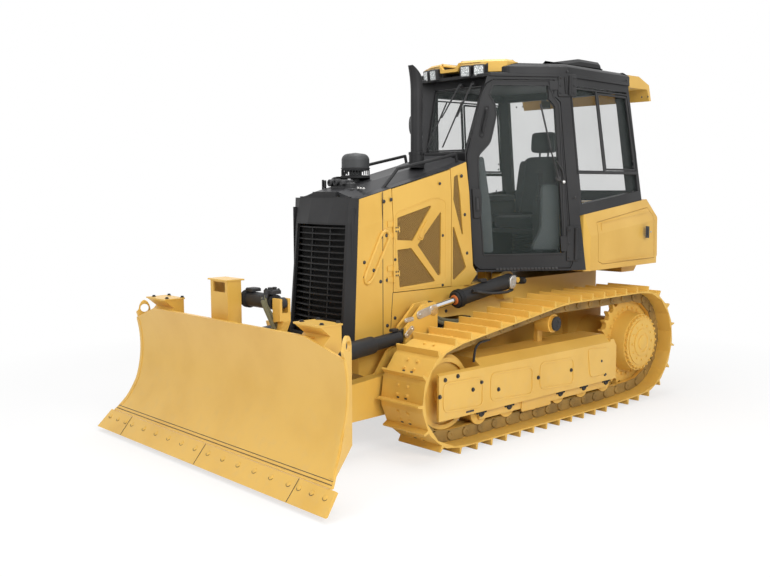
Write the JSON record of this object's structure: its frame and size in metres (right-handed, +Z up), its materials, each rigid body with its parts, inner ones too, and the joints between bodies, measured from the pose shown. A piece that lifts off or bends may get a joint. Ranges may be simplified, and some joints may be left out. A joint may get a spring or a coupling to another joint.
{
  "type": "small crawler dozer",
  "caption": "Small tracked dozer with enclosed cab, louvred nose, and a power-angle-tilt blade on a C-frame worked by lift, angle and tilt cylinders.",
  "frame": {"origin": "on the ground, in the middle of the machine's outer box", "axes": "+X forward to the blade, +Y to the machine's left, +Z up"},
  "size_m": [4.3514, 2.752, 2.893],
  "materials": {
    "yellow_paint": "satin",
    "black_paint": "satin",
    "hood_black": "satin",
    "cast_black": "matt",
    "dark_steel": "worn",
    "rod_chrome": "polished",
    "glass": "clear tint",
    "trim_plastic": "matt",
    "seat_fabric": "woven",
    "bare_steel": "machined",
    "yellow_cast": "painted"
  },
  "bodies": {
    "machine": {"track_left": "yellow_cast", "track_right": "yellow_cast", "track_frames": "yellow_paint", "idlers": "yellow_cast", "sprockets": "yellow_cast", "final_drives": "yellow_cast", "track_rollers": "yellow_cast", "carrier_rollers": "yellow_cast", "main_frame": "yellow_paint", "drawbar": "yellow_cast", "engine_block": "cast_black", "radiator_core": "black_paint", "hood_top": "hood_black", "front_side_panels": "yellow_paint", "rear_side_panels": "yellow_paint", "nose_cowl": "black_paint", "grille": "black_paint", "exhaust_stack": "black_paint", "pre_cleaner": "trim_plastic", "hood_rails": "black_paint", "cab_frame": "black_paint", "cab_roof": "black_paint", "cab_tub": "trim_plastic", "front_shroud": "yellow_paint", "rear_shroud": "yellow_paint", "ac_cover": "black_paint", "side_windows": "glass", "windscreen": "glass", "rear_window": "glass", "seat": "seat_fabric", "consoles": "trim_plastic", "rear_boxes": "yellow_paint", "fuel_tank": "yellow_paint"},
    "cab_door_left": {"cab_door_left": "black_paint", "door_glass_left": "glass"},
    "cab_door_right": {"cab_door_right": "black_paint", "door_glass_right": "glass"},
    "engine_door_left": {"engine_door_left": "yellow_paint"},
    "engine_door_right": {"engine_door_right": "yellow_paint"},
    "service_door_left": {"service_door_left": "yellow_paint"},
    "service_door_right": {"service_door_right": "yellow_paint"},
    "c_frame": {"c_frame": "yellow_paint"},
    "swivel": {"swivel": "yellow_cast"},
    "blade": {"blade": "yellow_paint", "cutting_edge": "yellow_paint"},
    "tilt_barrel": {"tilt_barrel": "black_paint"},
    "tilt_rod": {"tilt_rod": "rod_chrome"},
    "lift_barrel_left": {"lift_barrel_left": "black_paint"},
    "lift_rod_left": {"lift_rod_left": "rod_chrome"},
    "angle_barrel_left": {"angle_barrel_left": "black_paint"},
    "angle_rod_left": {"angle_rod_left": "rod_chrome"},
    "angle_ball_left": {"angle_ball_left": "bare_steel"},
    "lift_barrel_right": {"lift_barrel_right": "black_paint"},
    "lift_rod_right": {"lift_rod_right": "rod_chrome"},
    "angle_barrel_right": {"angle_barrel_right": "black_paint"},
    "angle_rod_right": {"angle_rod_right": "rod_chrome"},
    "angle_ball_right": {"angle_ball_right": "bare_steel"}
  },
  "joints": [
    {"name": "blade_lift", "type": "hinge", "parent": "machine", "child": "c_frame", "pos_m": [-0.3105, 0, 0.42], "axis": [0, -1, 0], "range_deg": [-11, 17]},
    {"name": "blade_angle", "type": "hinge", "parent": "c_frame", "child": "swivel", "pos_m": [1.5745, 0, 0], "axis": [0, 0, 1], "range_deg": [-25, 25]},
    {"name": "blade_tilt", "type": "hinge", "parent": "swivel", "child": "blade", "pos_m": [0.0145, 0, 0.38], "axis": [1, 0, 0], "range_deg": [-7.5, 7.5]},
    {"name": "lift_swing_left", "type": "hinge", "parent": "machine", "child": "lift_barrel_left", "pos_m": [-0.5045, 0.49, 1.104], "axis": [0, -1, 0], "range_deg": [-8.2, 12.6]},
    {"name": "lift_stroke_left", "type": "slide", "parent": "lift_barrel_left", "child": "lift_rod_left", "axis": [0.9883, 0, -0.1528], "range_m": [-0.2, 0.13]},
    {"name": "angle_ball_turn_left", "type": "hinge", "parent": "c_frame", "child": "angle_ball_left", "pos_m": [0.6865, 0.49, 0.785], "axis": [0, -0.874, -0.4859], "range_deg": [-4.5, 4.5]},
    {"name": "angle_swing_left", "type": "hinge", "parent": "angle_ball_left", "child": "angle_barrel_left", "pos_m": [0.6865, 0.49, 0.785], "axis": [0, 0, 1], "range_deg": [-3.8, 3.8]},
    {"name": "angle_stroke_left", "type": "slide", "parent": "angle_barrel_left", "child": "angle_rod_left", "axis": [0.9958, 0.0096, -0.0916], "range_m": [-0.22, 0.22]},
    {"name": "lift_swing_right", "type": "hinge", "parent": "machine", "child": "lift_barrel_right", "pos_m": [-0.5045, -0.49, 1.104], "axis": [0, -1, 0], "range_deg": [-8.2, 12.6]},
    {"name": "lift_stroke_right", "type": "slide", "parent": "lift_barrel_right", "child": "lift_rod_right", "axis": [0.9883, 0, -0.1528], "range_m": [-0.2, 0.13]},
    {"name": "angle_ball_turn_right", "type": "hinge", "parent": "c_frame", "child": "angle_ball_right", "pos_m": [0.6865, -0.49, 0.785], "axis": [0, 0.874, -0.4859], "range_deg": [-4.5, 4.5]},
    {"name": "angle_swing_right", "type": "hinge", "parent": "angle_ball_right", "child": "angle_barrel_right", "pos_m": [0.6865, -0.49, 0.785], "axis": [0, 0, 1], "range_deg": [-3.8, 3.8]},
    {"name": "angle_stroke_right", "type": "slide", "parent": "angle_barrel_right", "child": "angle_rod_right", "axis": [0.9958, -0.0096, -0.0916], "range_m": [-0.22, 0.22]},
    {"name": "tilt_swing", "type": "hinge", "parent": "swivel", "child": "tilt_barrel", "pos_m": [1.6565, 0.3, 1.085], "axis": [1, 0, 0], "range_deg": [-3.9, 3.9]},
    {"name": "tilt_stroke", "type": "slide", "parent": "tilt_barrel", "child": "tilt_rod", "axis": [0, -1, 0], "range_m": [-0.096, 0.096]},
    {"name": "cab_door_open_left", "type": "hinge", "parent": "machine", "child": "cab_door_left", "pos_m": [-0.9, 0.81497, 1.388], "axis": [0.0763, -0.0511, 0.9958], "range_deg": [0, 90]},
    {"name": "engine_door_open_left", "type": "hinge", "parent": "machine", "child": "engine_door_left", "pos_m": [0.6965, 0.372, 0], "axis": [0, 0, 1], "range_deg": [-100, 0]},
    {"name": "service_door_open_left", "type": "hinge", "parent": "machine", "child": "service_door_left", "pos_m": [-1.1575, 0.85, 0], "axis": [0, 0, -1], "range_deg": [0, 100]},
    {"name": "cab_door_open_right", "type": "hinge", "parent": "machine", "child": "cab_door_right", "pos_m": [-0.9, -0.81497, 1.388], "axis": [-0.0763, -0.0511, -0.9958], "range_deg": [0, 90]},
    {"name": "engine_door_open_right", "type": "hinge", "parent": "machine", "child": "engine_door_right", "pos_m": [0.6965, -0.372, 0], "axis": [0, 0, -1], "range_deg": [-100, 0]},
    {"name": "service_door_open_right", "type": "hinge", "parent": "machine", "child": "service_door_right", "pos_m": [-1.1575, -0.85, 0], "axis": [0, 0, 1], "range_deg": [0, 100]}
  ],
  "couplings": [
    {"joint": "lift_swing_left", "follows": "blade_lift", "ratio": 0.7119},
    {"joint": "lift_stroke_left", "follows": "blade_lift", "m_per_rad": -0.6569},
    {"joint": "angle_ball_turn_left", "follows": "blade_tilt", "ratio": 0.56076},
    {"joint": "angle_swing_left", "follows": "blade_angle", "ratio": 0.14273},
    {"joint": "angle_stroke_left", "follows": "blade_angle", "m_per_rad": -0.49211},
    {"joint": "lift_swing_right", "follows": "blade_lift", "ratio": 0.7119},
    {"joint": "lift_stroke_right", "follows": "blade_lift", "m_per_rad": -0.6569},
    {"joint": "angle_ball_turn_right", "follows": "blade_tilt", "ratio": 0.56076},
    {"joint": "angle_swing_right", "follows": "blade_angle", "ratio": 0.14273},
    {"joint": "angle_stroke_right", "follows": "blade_angle", "m_per_rad": 0.49211},
    {"joint": "tilt_swing", "follows": "blade_tilt", "ratio": 0.5},
    {"joint": "tilt_stroke", "follows": "blade_tilt", "m_per_rad": 0.7045}
  ]
}
